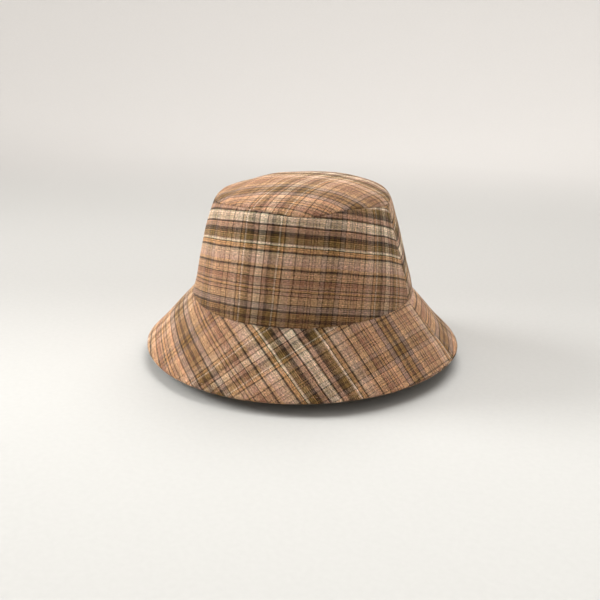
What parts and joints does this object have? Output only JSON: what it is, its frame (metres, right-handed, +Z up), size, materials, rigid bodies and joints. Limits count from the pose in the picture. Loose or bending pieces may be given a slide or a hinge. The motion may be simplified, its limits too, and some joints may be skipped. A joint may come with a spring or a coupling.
{
  "type": "bucket hat",
  "caption": "Soft lined bucket hat: domed oval tip, two-panel crown, sloping interlined brim, sweatband and two hanging labels.",
  "frame": {"origin": "on the resting surface, under the middle of the brim", "axes": "+Z up, -Y to the front of the hat, +X to the wearer's left"},
  "size_m": [0.252, 0.27, 0.1376],
  "materials": {
    "plaid_cloth": "matte plain-weave tartan in browns, cream and orange",
    "interlining_cloth": "stiff plain cloth, unseen",
    "lining_cloth": "smooth dark brown lining",
    "sweatband_twill": "dark cotton twill",
    "label_cloth": "blank cream satin",
    "sewing_thread": "brown polyester thread"
  },
  "bodies": {
    "hat": {"crown_tip": "plaid_cloth", "crown_front": "plaid_cloth", "crown_back": "plaid_cloth", "brim_upper_front": "plaid_cloth", "brim_upper_back": "plaid_cloth", "brim_under_front": "plaid_cloth", "brim_under_back": "plaid_cloth", "brim_interlining_front": "interlining_cloth", "brim_interlining_back": "interlining_cloth", "lining_tip": "lining_cloth", "lining_front": "lining_cloth", "lining_back": "lining_cloth", "sweatband": "sweatband_twill", "brand_label": "label_cloth", "brim_edge_stitching": "sewing_thread", "sweatband_stitching": "sewing_thread"},
    "care_flap": {"care_label": "label_cloth"},
    "size_flap": {"size_tab": "label_cloth"}
  },
  "joints": [
    {"name": "care_label_flap", "type": "hinge", "parent": "hat", "child": "care_flap", "pos_m": [0.07733, 0, 0.0793], "axis": [0, 1, 0], "range_deg": [-8, 120]},
    {"name": "size_tab_flap", "type": "hinge", "parent": "hat", "child": "size_flap", "pos_m": [-0.07733, 0, 0.0793], "axis": [0, -1, 0], "range_deg": [-8, 120]}
  ]
}
